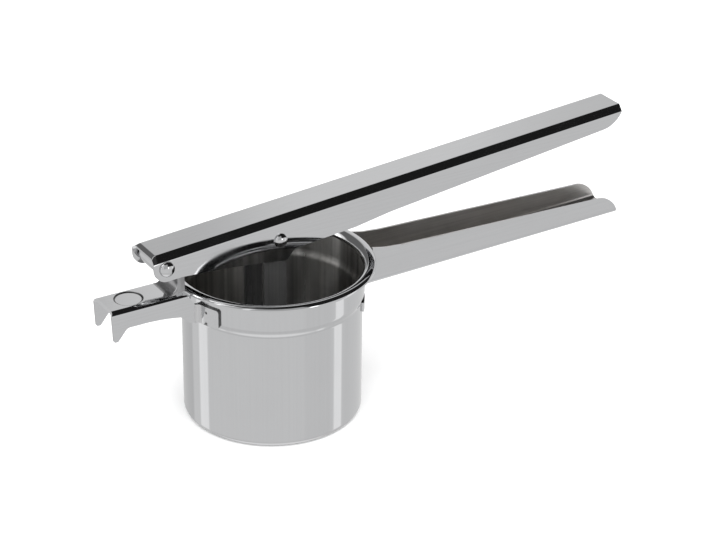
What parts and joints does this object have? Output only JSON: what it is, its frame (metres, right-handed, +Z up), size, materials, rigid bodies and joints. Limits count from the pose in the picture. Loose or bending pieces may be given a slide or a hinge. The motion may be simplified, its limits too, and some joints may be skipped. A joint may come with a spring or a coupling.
{
  "type": "potato ricer",
  "caption": "Hand press for cooked potatoes: a perforated steel cup with a pot hook, a fixed grip and a riveted lever that drives a plunger disc into it.",
  "frame": {"origin": "middle of the cup's underside, on the surface that it stands on", "axes": "+Z up along the cup's axis, +X along the grips away from the pot hook, the press is symmetric about the XZ plane"},
  "size_m": [0.2909, 0.1008, 0.1207],
  "materials": {
    "cup_steel": "polished deep drawn stainless steel",
    "bracket_steel": "polished pressed stainless sheet",
    "lever_steel": "polished pressed stainless sheet",
    "plunger_steel": "satin stainless sheet",
    "rivet_steel": "polished stainless rivet"
  },
  "bodies": {
    "frame": {"cup": "cup_steel", "nose_bracket": "bracket_steel", "pivot_post": "bracket_steel", "pivot_barrel": "rivet_steel", "lower_handle": "bracket_steel", "handle_saddle": "bracket_steel"},
    "lever": {"upper_lever": "lever_steel", "pivot_rivet": "rivet_steel", "plunger_rivet": "rivet_steel"},
    "plunger": {"plunger_yoke": "plunger_steel", "plunger_spacer": "rivet_steel", "plunger_disc": "plunger_steel", "yoke_rivets": "rivet_steel"}
  },
  "joints": [
    {"name": "lever_hinge", "type": "hinge", "parent": "frame", "child": "lever", "pos_m": [-0.062, 0, 0.095], "axis": [0, -1, 0], "range_deg": [-7, 25]},
    {"name": "plunger_hinge", "type": "hinge", "parent": "lever", "child": "plunger", "pos_m": [-0.0016, 0, 0.0948], "axis": [0, -1, 0], "range_deg": [-22.3, 6.3]}
  ],
  "couplings": [
    {"joint": "plunger_hinge", "follows": "lever_hinge", "ratio": -0.89}
  ]
}
